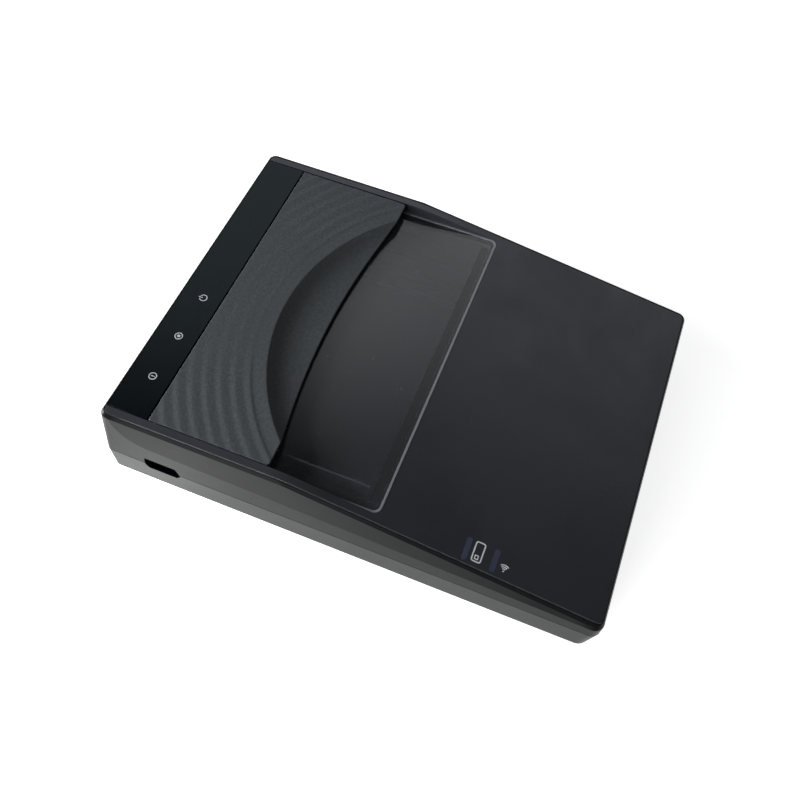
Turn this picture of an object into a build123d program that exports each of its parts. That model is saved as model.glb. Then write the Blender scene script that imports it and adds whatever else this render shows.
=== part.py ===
from build123d import *
import os
from math import sin, cos, radians, atan, degrees, sqrt

os.makedirs("parts", exist_ok=True)

# Travel document scanner: a low wedge-shaped desktop scanner.
# +X is the user's right, +Y the back, +Z up. Everything below is drawn with z = 0 at the
# underside of the lower case, then raised by the height of the rubber feet.

# ---------------------------------------------------------------- driving dimensions (mm)
FOOT_H = 1.2          # how far the feet stand below the case
HALF_W = 72.0         # half width at the case seam
HALF_L = 92.5         # half length at the top
BACK_LOW = 93.2       # back edge at the case seam; the back wall leans in above it
TOP_Z = 35.7          # flat rear part of the top
DECK_FRONT_Z = 19.40  # height of the sloping deck at y = -HALF_L
DECK_SLOPE = 0.141    # rise of the deck per mm towards the back
SEAM_Z = 13.0         # parting line of the case
SEAM_GAP = 0.30
FACET_Z0 = 21.5       # break line of the side wall at y = 0
FACET_SLOPE = 0.03865
BEV_X = 71.15         # half width at the lower edge of the top bevel
BEV_DROP = 0.9
PANEL_X = 70.05       # half width of the top panel
PANEL_YB = 91.75      # back edge of the top panel
PANEL_YF = -91.85     # front edge of the top panel
PANEL_T = 2.2         # top panel wall
PANEL_GAP = 0.24
POCKET_X = 66.7       # half width of the scan pocket, cover and strip recess
POCKET_YF = -11.0     # front edge of the scan pocket
STOP_Y = 75.7         # document stop, front edge of the indicator strip
GLASS_Z = 30.9        # top of the scan glass
GLASS_T = 1.8
RIM_W = 0.9           # width of the rim round the glass
COVER_YF = 29.5       # straight front edge of the hinged cover
COVER_T = 1.6
SCOOP_R = 79.0        # radius of the finger scoop's upper edge
SCOOP_CY = -25.9      # its centre
LIP_T = 0.75          # cover thickness at the scoop's lip
HINGE_Y, HINGE_Z, PIN_R = 72.7, 34.45, 0.8
SCAN_HOME_Y = -12.0   # scan line with the carriage at its front end
SCAN_TRAVEL = 85.0
ROD_X, ROD_Z, ROD_R = -50.0, 11.0, 2.5
BELT_X, MOTOR_Y, IDLER_Y, PULLEY_R = 48.0, -38.0, 84.5, 3.5
PORT_Y, PORT_Z = 70.3, 13.2
WALL = 2.6            # case side wall
TURN_Y, TURN_R = 74.0, 122.0   # towards the back corners the side walls draw in on this arc, fully at the top only

UP = Vector(0, 0, 1)
slope_a = degrees(atan(DECK_SLOPE))


def deck_z(y):
    return DECK_FRONT_Z + DECK_SLOPE * (y + HALF_L)


def top_z(y):
    return min(TOP_Z, deck_z(y))


def box(x0, x1, y0, y1, z0, z1):
    return Pos((x0 + x1) / 2, (y0 + y1) / 2, (z0 + z1) / 2) * Box(abs(x1 - x0), abs(y1 - y0), abs(z1 - z0))


def cyl_z(x, y, z0, z1, r):
    return Pos(x, y, (z0 + z1) / 2) * Cylinder(r, z1 - z0)


def cyl_x(x0, x1, y, z, r):
    return Pos((x0 + x1) / 2, y, z) * Rot(0, 90, 0) * Cylinder(r, abs(x1 - x0))


def cyl_y(x, y0, y1, z, r):
    return Pos(x, (y0 + y1) / 2, z) * Rot(90, 0, 0) * Cylinder(r, abs(y1 - y0))


def plan(hx, yf, yb, r, turn=0.0):
    """Rounded rectangle seen from above; r is one radius or (front, back)."""
    rf, rb = r if isinstance(r, tuple) else (r, r)
    t = turn * (yb - TURN_Y) ** 2 / (2 * TURN_R)
    with BuildSketch() as sk:
        with BuildLine():
            Polyline((-hx, TURN_Y), (-hx, yf), (hx, yf), (hx, TURN_Y))
            if turn:
                ThreePointArc((hx, TURN_Y), (hx - t / 4, (TURN_Y + yb) / 2), (hx - t, yb))
            else:
                Line((hx, TURN_Y), (hx, yb))
            Line((hx - t, yb), (-hx + t, yb))
            if turn:
                ThreePointArc((-hx + t, yb), (-hx + t / 4, (TURN_Y + yb) / 2), (-hx, TURN_Y))
            else:
                Line((-hx, yb), (-hx, TURN_Y))
        make_face()
        fillet([v for v in sk.vertices() if abs(v.Y - yf) < 0.001], rf)
        fillet([v for v in sk.vertices() if abs(v.Y - yb) < 0.001], rb)
    return sk.sketch


def prism(hx, yf, yb, r, z0, z1):
    if isinstance(r, tuple):
        return Pos(0, 0, z0) * extrude(plan(hx, yf, yb, r), amount=z1 - z0)
    return Pos(0, (yf + yb) / 2, z0) * extrude(RectangleRounded(2 * hx, yb - yf, r), amount=z1 - z0)


def tilted(z_at_0, slope):
    """Plane z = z_at_0 + slope * y."""
    a = atan(slope)
    return Plane(origin=(0, 0, z_at_0), x_dir=(1, 0, 0), z_dir=(0, -sin(a), cos(a)))


def slab(pl0, pl1, out0, out1):
    """Solid between two rounded outlines, each laid on its own plane (ruled)."""
    f0 = section(prism(*out0, -60, 90), section_by=pl0).faces()[0]
    f1 = section(prism(*out1, -60, 90), section_by=pl1).faces()[0]
    return Solid.make_loft([f0.outer_wire(), f1.outer_wire()], ruled=True)


def under(pl, big=400.0):
    """Half space below a plane."""
    return extrude(pl * Rectangle(big, big), amount=-big / 2)


OUT0 = (HALF_W, -HALF_L, BACK_LOW, (3.6, 2.0))
OUT1 = (BEV_X, -HALF_L + 0.1, HALF_L - 0.04, (3.2, 2.9))
OUT2 = (PANEL_X, PANEL_YF, PANEL_YB, (2.3, 2.6))


def top_body(pl_top, pl_bev):
    pl_fac = tilted(FACET_Z0, FACET_SLOPE)
    lower = extrude(plan(*OUT0), amount=80) & under(pl_fac)
    return lower + slab(pl_fac, pl_bev, OUT0, OUT1) + slab(pl_bev, pl_top, OUT1, OUT2)


flat = top_body(Plane.XY.offset(TOP_Z), Plane.XY.offset(TOP_Z - BEV_DROP))
sloped = top_body(tilted(deck_z(0), DECK_SLOPE), tilted(deck_z(0) - BEV_DROP, DECK_SLOPE))


# long bend between the flat top and the deck, seen from the side
bend_y = (TOP_Z - DECK_FRONT_Z) / DECK_SLOPE - HALF_L


def side_profile(drop, r=90.0, y0=-120.0, y1=120.0, z0=-10.0):
    with BuildSketch(Plane.YZ) as s:
        with BuildLine():
            Polyline((y0, z0), (y1, z0), (y1, TOP_Z - drop), (bend_y, TOP_Z - drop),
                     (y0, deck_z(y0) - drop), close=True)
        make_face()
        v = s.vertices().sort_by(lambda q: abs(q.X - bend_y) + abs(q.Y - (TOP_Z - drop)))[0]
        fillet(v, r)
    return s.sketch


def profile_prism(drop, hx=100.0):
    return Pos(-hx, 0, 0) * extrude(side_profile(drop), amount=2 * hx, dir=(1, 0, 0))


# the side walls draw in gently before the back corners, more and more from the seam to the top
TURN_LOW = 0.03
wall_low = (HALF_W, -HALF_L - 1, BACK_LOW, (0.5, 2.0))
wall_top = (HALF_W, -HALF_L - 1, HALF_L, (0.5, 3.1))
turned_prism = Pos(0, 0, -20) * extrude(plan(*wall_low, turn=TURN_LOW), amount=20 + SEAM_Z)
turned_prism += Solid.make_loft([(Pos(0, 0, SEAM_Z) * plan(*wall_low, turn=TURN_LOW)).faces()[0].outer_wire(),
                                 (Pos(0, 0, TOP_Z + 1) * plan(*wall_top, turn=1.04)).faces()[0].outer_wire()], ruled=True)

outer = (flat & sloped) & profile_prism(0.0) & turned_prism
print("outer", outer.volume, outer.bounding_box())

# ---------------------------------------------------------------- middle case
cut_low = box(-100, 100, -120, 120, -50, SEAM_Z + SEAM_GAP / 2)
middle = outer - cut_low
# cavity up to the ledge that carries the top panel
middle -= prism(HALF_W - WALL, -HALF_L + WALL, HALF_L - WALL, 3.4, -20, 80) & profile_prism(4.2)
middle -= prism(68.6, -90.4, 90.0, 3.0, -20, 80)
middle -= prism(PANEL_X, PANEL_YF, PANEL_YB, (2.3, 2.6), -20, 80) - profile_prism(PANEL_T + 0.02)
# rebate for the tongue of the lower case
middle -= prism(HALF_W - 1.2, -HALF_L + 1.2, HALF_L - 1.2, 4.6, -20, SEAM_Z + 1.6)
# screw posts in the corners
POSTS = [(-66.0, -86.6), (66.0, -86.6), (-66.0, 86.6), (66.0, 86.6)]
for px, py in POSTS:
    top = 16.0 if py < 0 else 22.0
    post = cyl_z(px, py, SEAM_Z + 0.15, top, 3.2)
    sx = 1 if px > 0 else -1
    sy = 1 if py > 0 else -1
    post += box(px, sx * 70.0, py - 0.8, py + 0.8, SEAM_Z + 2.0, top)
    post += box(px - 0.8, px + 0.8, py, sy * 91.0, SEAM_Z + 2.0, top)
    post -= cyl_z(px, py, SEAM_Z - 1, top - 1.0, 1.05)
    middle += post

# cable notch: seen from the side, widest at the seam
with BuildSketch(Plane.YZ) as notch:
    with BuildLine():
        Polyline((64.6, 16.6), (77.0, 16.6), (77.4, 13.0), (77.2, 11.6), (76.0, 9.8),
                 (64.8, 9.8), (63.3, 11.6), (63.2, 13.0), close=True)
    make_face()
    fillet([v for v in notch.vertices() if v.Y > 16], 0.6)
notch_prism = Pos(-80, 0, 0) * extrude(notch.sketch, amount=16, dir=(1, 0, 0))
middle -= notch_prism
print("middle", middle.volume, len(middle.solids()))

# ---------------------------------------------------------------- lower case
BOT = (71.25, -91.0, 92.9, (4.4, 2.4))


def low_shape(out_b, out_t, z0, z1, turn=TURN_LOW):
    a = Pos(0, 0, z0) * plan(*out_b, turn=turn)
    b = Pos(0, 0, z1) * plan(*out_t, turn=turn)
    return Solid.make_loft([a.faces()[0].outer_wire(), b.faces()[0].outer_wire()], ruled=True)


lower_top = SEAM_Z - SEAM_GAP / 2
lower = low_shape(BOT, OUT0, 0.6, lower_top) + low_shape((70.75, -90.5, 92.4, (3.9, 2.1)), BOT, 0, 0.6)
lower = lower & turned_prism
lower -= low_shape((68.85, -88.5, 89.88, (3.2, 2.0)), (HALF_W - WALL, -HALF_L + WALL, HALF_L - WALL, (3.4, 2.2)), 2.2, lower_top + 3, 1.0)
# tongue that centres the two halves
tongue = prism(HALF_W - 1.35, -HALF_L + 1.35, HALF_L - 1.35, 4.4, lower_top - 1.0, SEAM_Z + 1.3)
tongue -= prism(HALF_W - WALL, -HALF_L + WALL, HALF_L - WALL, 3.4, lower_top - 2.0, SEAM_Z + 2)
lower += tongue & turned_prism
lower -= notch_prism
for px, py in POSTS:
    sx = 1 if px > 0 else -1
    sy = 1 if py > 0 else -1
    lower += cyl_z(px, py, 1.0, SEAM_Z + 0.1, 3.2) & low_shape(BOT, OUT0, 0, SEAM_Z + 0.1)
    lower -= cyl_z(px, py, -1, SEAM_Z + 2, 1.45)
    lower -= cyl_z(px, py, -1, 2.4, 2.6)
# recesses of the feet
FEET = [(-58.0, -76.0), (58.0, -76.0), (-58.0, 76.0), (58.0, 76.0)]
for fx, fy in FEET:
    lower -= cyl_z(fx, fy, -1, 0.6, 5.6)
    lower += cyl_z(fx, fy, 1.5, 3.0, 6.4)
# card slot in the front wall with a lead-in
SLOT_HX, SLOT_Z0, SLOT_Z1 = 27.8, 8.1, 10.1
lower -= box(-SLOT_HX, SLOT_HX, -96, -88, SLOT_Z0, SLOT_Z1)
with BuildSketch(Plane.YZ) as lead:
    with BuildLine():
        Polyline((-94.3, SLOT_Z0 - 2.2), (-91.2, SLOT_Z0 + 0.1), (-91.2, SLOT_Z1 - 0.1),
                 (-94.3, SLOT_Z1 + 2.2), close=True)
    make_face()
lower -= Pos(-SLOT_HX - 0.8, 0, 0) * extrude(lead.sketch, amount=2 * SLOT_HX + 1.6, dir=(1, 0, 0))
# carriers for boards, rod, rail, idler and motor bracket
BOARD = dict(x0=-60.0, x1=31.0, y0=-84.5, y1=-33.0, z0=5.2, z1=6.8)
BOARD_SCREWS = [(-56.5, -81.0), (-56.5, -36.5), (27.5, -36.5)]
for bx, by in BOARD_SCREWS + [(27.5, -81.0)]:
    lower += cyl_z(bx, by, 1.5, BOARD["z0"], 2.8)
    if (bx, by) in BOARD_SCREWS:
        lower -= cyl_z(bx, by, 2.6, BOARD["z0"] + 1, 0.85)
USB_SCREWS = [(-62.5, 61.0), (-62.5, 79.5)]
for bx, by in USB_SCREWS:
    lower += cyl_z(bx, by, 1.5, 10.0, 2.8)
    lower -= cyl_z(bx, by, 4.0, 11.0, 0.85)
for y0, y1 in ((-31.5, -27.0), (85.5, 89.0)):
    lower += box(ROD_X - 5, ROD_X + 5, y0, y1, 1.5, ROD_Z + 1.2)
    lower -= cyl_y(ROD_X, y0 - 0.01, y1 + 1 if y0 < 0 else y1 - 0.6, ROD_Z, ROD_R + 0.03)
    lower -= box(ROD_X - ROD_R + 0.35, ROD_X + ROD_R - 0.35, y0 - 0.01, y1 + 1 if y0 < 0 else y1 - 0.6, ROD_Z, ROD_Z + 4)
lower += box(59, 61, -26, 86, 1.5, 12.3)
lower += cyl_z(BELT_X, IDLER_Y, 1.5, 7.0, 4.0)
lower -= cyl_z(BELT_X, IDLER_Y, 3.0, 8.0, 1.0)
BRK_X = (34.5, 61.5)
for mx in BRK_X:
    lower += cyl_z(mx, MOTOR_Y, 1.5, 11.9, 3.0)
    lower -= cyl_z(mx, MOTOR_Y, 6.0, 12.5, 0.85)
print("lower", lower.volume, len(lower.solids()))

# ---------------------------------------------------------------- top panel
panel_core = outer & prism(PANEL_X - PANEL_GAP, PANEL_YF + PANEL_GAP, PANEL_YB - PANEL_GAP, (2.1, 2.4), -20, 80)
panel_core = panel_core.solids()[0]
# rounded edge all round the panel's top
rim_edges = []
for e in panel_core.edges():
    m, b = e.position_at(0.5), e.bounding_box()
    if m.Z > 15 and (abs(m.X) > 69.0 or abs(m.Y) > 90.9) and (b.size.X > 0.01 or b.size.Y > 0.01):
        rim_edges.append(e)
panel_core = panel_core.fillet(0.42, rim_edges)
panel = panel_core - profile_prism(PANEL_T)
tub = box(-68.3, 68.3, -14.0, 78.0, GLASS_Z - GLASS_T - 1.9, 60) & panel_core
panel += tub
panel += box(-66.5, 66.5, 77.5, 89.4, 32.5, 34.0)
# scan pocket and window
pocket = prism(POCKET_X, POCKET_YF, STOP_Y + 6, 3.0, GLASS_Z - GLASS_T, 60)
pocket -= box(-100, 100, STOP_Y, 120, 0, 80)
panel -= pocket
panel -= prism(64.4, POCKET_YF + 1.9, 73.6, 1.5, 10, 40)
# recess of the indicator strip, open to the back
panel -= box(-POCKET_X, POCKET_X, STOP_Y, 100, TOP_Z - 1.6, 60)
# holes for the three light guides
LAMPS = [(-10.9, 82.7), (-30.4, 82.7), (-49.7, 82.7)]
for lx, ly in LAMPS:
    panel -= cyl_z(lx, ly, 30, 36, 1.75)
IND_SCREWS = [(-57.5, 87.0), (-3.0, 87.0)]
for bx, by in IND_SCREWS:
    panel += cyl_z(bx, by, 30.6, 33.0, 2.2)
    panel -= cyl_z(bx, by, 30.0, 33.2, 0.85)
# hinge holes in the rails
for s in (-1, 1):
    panel -= cyl_x(s * 66.0, s * 68.2, HINGE_Y, HINGE_Z, PIN_R + 0.05)
# windows of the two reading lights and the recesses of the two symbols, square to the deck
deck_pl = tilted(deck_z(0), DECK_SLOPE)


def on_deck(x, y):
    """Location on the deck surface above (x, y), tilted with it."""
    return Location(Plane(origin=(x, y, deck_z(y)), x_dir=(1, 0, 0), z_dir=(0, -sin(atan(DECK_SLOPE)), cos(atan(DECK_SLOPE)))))


BAR_L, BAR_W = 8.4, 1.95
BARS = {"card_light": (-64.3, -41.9), "wave_light": (-64.3, -51.9)}
bars = {}
for n, (bx, by) in BARS.items():
    shape = Pos(0, 0, -PANEL_T - 0.6) * extrude(RectangleRounded(BAR_L, BAR_W, 0.7), amount=PANEL_T + 0.62)
    bars[n] = on_deck(bx, by) * shape
    panel -= on_deck(bx, by) * (Pos(0, 0, -6) * extrude(RectangleRounded(BAR_L + 0.06, BAR_W + 0.06, 0.73), amount=8))
# generic symbols: a card with its contact pad, and radiating waves
card = RectangleRounded(7.6, 3.7, 0.9) - RectangleRounded(6.6, 2.7, 0.42)
card += Pos(-2.0, 0.1) * (RectangleRounded(1.7, 1.5, 0.3) - RectangleRounded(0.95, 0.75, 0.15))
waves = Pos(-1.3, 0) * Circle(0.28)
for k, rr in enumerate((0.88, 1.58, 2.28)):
    ring = Circle(rr + 0.2) - Circle(rr - 0.2)
    wedge = Polygon((0, 0), (8, 6.4), (8, -6.4), align=None)
    waves += Pos(-1.3, 0) * (ring & wedge)
SYM_D = 0.25
card_icon = on_deck(-63.95, -45.9) * (Pos(0, 0, -SYM_D) * extrude(card, amount=SYM_D + 0.02))
wave_icon = on_deck(-65.3, -55.6) * (Pos(0, 0, -SYM_D) * extrude(waves, amount=SYM_D + 0.02))
panel -= on_deck(-63.95, -45.9) * (Pos(0, 0, -SYM_D) * extrude(card, amount=2))
panel -= on_deck(-65.3, -55.6) * (Pos(0, 0, -SYM_D) * extrude(waves, amount=2))
print("panel", panel.volume, len(panel.solids()))

# ---------------------------------------------------------------- glass and its rim
glass = prism(POCKET_X - RIM_W - 0.05, POCKET_YF + RIM_W + 0.05, STOP_Y + 4, 2.2, GLASS_Z - GLASS_T, GLASS_Z)
glass -= box(-100, 100, STOP_Y - 0.15, 120, 0, 60)
rim = prism(POCKET_X - 0.06, POCKET_YF + 0.06, STOP_Y + 5, 2.95, GLASS_Z - GLASS_T, GLASS_Z + 0.12)
rim -= prism(POCKET_X - RIM_W, POCKET_YF + RIM_W, STOP_Y + 4, 2.25, 0, 60)
rim -= box(-100, 100, STOP_Y - 0.1, 120, 0, 60)
rim = rim & profile_prism(-0.14)
# white reference strip under the front end of the glass
white_ref = box(-62.0, 62.0, POCKET_YF + 2.2, POCKET_YF + 5.4, GLASS_Z - GLASS_T - 0.35, GLASS_Z - GLASS_T)

# ---------------------------------------------------------------- hinged cover
cx = POCKET_X - 0.4
y_back = STOP_Y - 0.4
lip_c, lip_r = -269.0, 304.0
with BuildSketch() as cov:
    with BuildLine():
        Polyline((-cx, COVER_YF), (cx, COVER_YF), (cx, y_back), (-cx, y_back), close=True)
    make_face()
    fillet([v for v in cov.vertices() if v.Y < 40], 1.2)
cov_plan = cov.sketch - (Pos(0, lip_c) * Circle(lip_r))
# the straight ends keep their front edge
cov_plan = cov.sketch & (cov_plan + Pos(-61.3, 45) * Rectangle(9.7, 40) + Pos(61.3, 45) * Rectangle(9.7, 40))


def dish(dz, r_in, top, extra_r=0.0):
    """Revolved region above (top=True) or below the scoop surface shifted by dz."""
    pts = [(SCOOP_R + extra_r, TOP_Z + dz), (77.0, 34.95 + dz), (75.0, 34.32 + dz), (73.0, 33.9 + dz), (70.5, 33.66 + dz), (66.0, 33.58 + dz), (r_in, 33.58 + dz)]
    with BuildSketch(Plane.XZ) as s:
        with BuildLine():
            Spline(*pts, tangents=((-1, -0.38), (-1, 0.0)))
            zc = 45.0 if top else 25.0
            Polyline(pts[-1], (r_in, zc), (SCOOP_R + extra_r, zc), pts[0])
        make_face()
    return Pos(0, SCOOP_CY, 0) * revolve(s.sketch, Axis.Z)


above = dish(0.0, 50.0, True)
below = dish(-LIP_T, 50.0, False) & box(-100, 100, -100, 100, 20, TOP_Z - COVER_T)
cover = Pos(0, 0, TOP_Z - COVER_T) * extrude(cov_plan, amount=COVER_T)
bulge_plan = cov_plan & (Pos(0, SCOOP_CY) * Circle(SCOOP_R))
bulge = Pos(0, 0, 32.6) * extrude(bulge_plan, amount=TOP_Z - COVER_T - 32.6 + 0.01)
bulge -= below
cover = cover + bulge
cover -= above
# side skirts that carry the hinge pins
with BuildSketch(Plane.YZ) as sk:
    with BuildLine():
        Polyline((31.0, TOP_Z - COVER_T + 0.2), (32.6, 31.6), (68.9, 31.6), (71.2, 32.75),
                 (74.3, 32.75), (74.3, TOP_Z - COVER_T + 0.2), close=True)
    make_face()
for s in (-1, 1):
    x0 = 63.4 if s > 0 else -cx
    skirt = Pos(x0, 0, 0) * extrude(sk.sketch, amount=cx - 63.4, dir=(1, 0, 0))
    cover += skirt
for s in (-1, 1):
    cover -= cyl_x(s * 63.9, s * 70.0, HINGE_Y, HINGE_Z, PIN_R)
print("cover", cover.volume, len(cover.solids()), cover.bounding_box())
pins = [cyl_x(s * 63.9, s * 67.95, HINGE_Y, HINGE_Z, PIN_R) for s in (-1, 1)]

# ---------------------------------------------------------------- indicator strip
strip = box(-POCKET_X + 0.3, POCKET_X - 0.3, STOP_Y, PANEL_YB - PANEL_GAP, TOP_Z - 1.6, TOP_Z)
strip = chamfer(strip.edges().group_by(Axis.Z)[-1], 0.15)
ring = Circle(1.55) - Circle(1.2)
bar_s = Rectangle(0.36, 1.7)
power_sym = (ring - Pos(0, 1.3) * Rectangle(1.1, 1.2)) + Pos(0, 1.1) * bar_s
data_sym = ring + Circle(0.62)
alert_sym = ring + Pos(0, 0.22) * Rectangle(0.36, 1.0) + Pos(0, -0.66) * Circle(0.2)
SYMS = {"power_icon": (power_sym, LAMPS[0]), "data_icon": (data_sym, LAMPS[1]), "alert_icon": (alert_sym, LAMPS[2])}
icons = {}
for n, (sk2, (lx, ly)) in SYMS.items():
    solid = Pos(lx, ly, TOP_Z - SYM_D) * extrude(sk2, amount=SYM_D)
    icons[n] = solid
    strip -= solid
guides = [cyl_z(lx, ly, 31.6, TOP_Z - 1.6, 1.7) for lx, ly in LAMPS]
ind_board = box(-60.5, 0.0, 78.1, 89.4, 29.6, 30.6)
for bx, by in IND_SCREWS:
    ind_board -= cyl_z(bx, by, 29, 31, 1.1)
ind_lamps = [box(lx - 0.8, lx + 0.8, ly - 0.6, ly + 0.6, 30.6, 31.3) for lx, ly in LAMPS]

# ---------------------------------------------------------------- boards at the front
main_board = box(BOARD["x0"], BOARD["x1"], BOARD["y0"], BOARD["y1"], BOARD["z0"], BOARD["z1"])
for bx, by in BOARD_SCREWS:
    main_board -= cyl_z(bx, by, 5, 7, 1.1)
zb = BOARD["z1"]
card_reader = box(-29.5, 29.5, -88.4, -43.0, zb + 0.05, 12.4) - box(-27.3, 27.3, -91, -48.0, 8.3, 9.9)
card_reader -= box(-29.6, 29.6, -90.1, -84.6, 6, 7.4)
card_reader -= box(-20.0, 20.0, -80.0, -60.0, 11.6, 13)
chips = [box(-52, -38, -72, -58, zb, zb + 1.4), box(-50, -40, -54, -46, zb, zb + 1.1),
         box(-36.5, -32.5, -76, -70, zb, zb + 2.0), box(-57.5, -54.0, -70, -62, zb, zb + 0.9),
         box(2.0, 16.0, -41.5, -35.5, zb, zb + 1.2), box(-22, -12, -41.5, -35.5, zb, zb + 1.0)]
caps = [cyl_z(-44.0, -80.0, zb, zb + 5.4, 3.15), cyl_z(-36.0, -80.0, zb, zb + 5.4, 3.15), cyl_z(-54, -51, zb, zb + 4.2, 2.5)]
buzzer = cyl_z(-34.5, -51.0, zb, zb + 3.6, 4.0)
buzzer -= cyl_z(-34.5, -51.0, zb + 2.6, zb + 4, 0.9)
# contactless antenna board, parallel to the deck and just below it
ant = extrude(Pos(-14, -53) * Rectangle(92, 58), amount=60)
ant = ant & (profile_prism(PANEL_T + 0.8) - profile_prism(PANEL_T + 1.8))
coil = Pos(-14, -53) * (Rectangle(84, 50) - Rectangle(76, 42))
coil_s = extrude(coil, amount=60) & (profile_prism(PANEL_T + 0.7) - profile_prism(PANEL_T + 0.8))
lamp_board = extrude(Pos(-64.3, -46.9) * Rectangle(8.0, 18.0), amount=60)
lamp_board = lamp_board & (profile_prism(PANEL_T + 1.7) - profile_prism(PANEL_T + 2.7))

# ---------------------------------------------------------------- port board at the back left
usb_board = box(-68.6, -56.0, 57.5, 83.0, 10.0, 11.6)
for bx, by in USB_SCREWS:
    usb_board -= cyl_z(bx, by, 9, 12, 1.1)
socket = Pos(-65.4, PORT_Y, PORT_Z) * Rot(0, 90, 0) * extrude(RectangleRounded(3.16, 8.94, 1.5), amount=3.6, both=True)
socket -= Pos(-69.2, PORT_Y, PORT_Z) * Rot(0, 90, 0) * extrude(RectangleRounded(2.56, 8.34, 1.25), amount=6.2)
tongue_u = box(-68.3, -63.05, PORT_Y - 3.3, PORT_Y + 3.3, PORT_Z - 0.35, PORT_Z + 0.35)

# ---------------------------------------------------------------- scanning carriage
yh = SCAN_HOME_Y
carriage = box(-66, 66, yh - 8, yh + 8, 15.2, 16.6)
carriage += box(-66, -65.0, yh - 8, yh + 8, 15.2, 19.5) + box(65.0, 66, yh - 8, yh + 8, 15.2, 19.5)
carriage += box(-66, 66, yh - 8, yh - 7.3, 15.2, 18.5) + box(-66, 66, yh + 7.3, yh + 8, 15.2, 18.5)
carriage += box(ROD_X - 4.5, ROD_X + 4.5, yh - 10, yh + 10, 7.3, 15.4)
carriage -= cyl_y(ROD_X, yh - 11, yh + 11, ROD_Z, ROD_R + 0.05)
carriage += box(58.0, 62.0, yh - 6, yh + 6, 12.4, 15.4)
carriage += box(42.2, 43.1, yh - 3, yh + 3, 7.8, 15.4) + box(44.9, 45.8, yh - 3, yh + 3, 7.8, 15.4)
sensor = box(-64.6, 64.6, yh - 7.0, yh + 7.0, 16.6, 25.6)
sensor -= box(-63.4, 63.4, yh - 4.6, yh + 4.6, 22.0, 26)
lens_bar = box(-62.9, 62.9, yh - 1.1, yh + 1.1, 22.0, 25.2)
light_bar = box(-62.9, 62.9, yh + 1.9, yh + 4.3, 22.0, 24.6)
light_bar = chamfer(light_bar.edges().filter_by(Axis.X).sort_by(lambda e: -e.center().Z + e.center().Y)[0], 1.2)
sensor_glass = box(-63.3, 63.3, yh - 4.5, yh + 4.5, 25.2 + 0.02, 25.95)
pads = [box(s * 64.4, s * 63.5, yh - 5, yh + 5, 25.6, 26.5) for s in (-1, 1)]
rod = cyl_y(ROD_X, -31.4, 88.3, ROD_Z, ROD_R)

# ---------------------------------------------------------------- belt drive
def spool(x, y, bore):
    s = cyl_z(x, y, 8.0, 11.6, PULLEY_R) + cyl_z(x, y, 7.4, 8.0, 5.2) + cyl_z(x, y, 11.6, 11.8, 4.4)
    return s - cyl_z(x, y, 7, 13, bore)


BELT_IN = PULLEY_R + 0.3
belt_c = (IDLER_Y + MOTOR_Y) / 2
belt_l = IDLER_Y - MOTOR_Y
belt2d = SlotCenterToCenter(belt_l, 2 * (BELT_IN + 0.8), rotation=90) - SlotCenterToCenter(belt_l, 2 * BELT_IN, rotation=90)
belt = Pos(BELT_X, belt_c, 8.3) * extrude(belt2d, amount=2.8)
idler = spool(BELT_X, IDLER_Y, 1.05)
idler_pin = cyl_z(BELT_X, IDLER_Y, 3.0, 12.4, 1.0) + cyl_z(BELT_X, IDLER_Y, 12.2, 13.0, 1.9)
drive_pulley = cyl_z(BELT_X, MOTOR_Y, 8.0, 11.5, PULLEY_R) + cyl_z(BELT_X, MOTOR_Y, 7.4, 8.0, 5.2) - cyl_z(BELT_X, MOTOR_Y, 7, 13, 0.75)
bracket = box(31.0, 65.0, MOTOR_Y - 9, MOTOR_Y + 9, 11.9, 12.9)
bracket = fillet(bracket.edges().filter_by(Axis.Z), 3)
bracket -= cyl_z(BELT_X, MOTOR_Y, 11, 14, 3.0)
for mx in BRK_X:
    bracket -= cyl_z(mx, MOTOR_Y, 11, 14, 1.1)
motor = cyl_z(BELT_X, MOTOR_Y, 12.9, 21.4, 10.0)
motor = fillet(motor.edges().group_by(Axis.Z)[-1], 0.8)
motor += box(BELT_X - 5, BELT_X + 5, MOTOR_Y - 12, MOTOR_Y - 8, 13.4, 18.4)
motor -= cyl_z(BELT_X, MOTOR_Y, 12, 18.0, 0.8)
shaft = cyl_z(BELT_X, MOTOR_Y, 7.2, 17.9, 0.75)


def screw(x, y, z_seat, length, r, head_r, head_h, up=True):
    """Pan-head screw: the head stands above z_seat (up) or below it."""
    d = 1 if up else -1
    sh = cyl_z(x, y, min(z_seat, z_seat - d * length), max(z_seat, z_seat - d * length), r)
    hd = cyl_z(x, y, min(z_seat, z_seat + d * head_h), max(z_seat, z_seat + d * head_h), head_r)
    hd -= cyl_z(x, y, z_seat + d * head_h * 0.4 if up else z_seat - head_h - 0.1, z_seat + head_h + 0.1 if up else z_seat - head_h * 0.4, 0.62) 
    return sh + hd


case_screws = [screw(px, py, 2.4, 10.8, 1.05, 2.3, 1.6, up=False) for px, py in POSTS]
board_screws = [screw(bx, by, zb, 3.6, 0.85, 1.9, 1.2) for bx, by in BOARD_SCREWS]
board_screws += [screw(bx, by, 11.6, 5.0, 0.85, 1.9, 1.2) for bx, by in USB_SCREWS]
bracket_screws = [screw(mx, MOTOR_Y, 12.9, 5.0, 0.85, 1.9, 1.2) for mx in BRK_X]
ind_screws = [screw(bx, by, 29.6, 3.0, 0.85, 1.9, 0.9, up=False) for bx, by in IND_SCREWS]
feet = []
for fx, fy in FEET:
    f = cyl_z(fx, fy, -FOOT_H, 0.6, 5.4)
    feet.append(chamfer(f.edges().group_by(Axis.Z)[0], 0.4))

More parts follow.
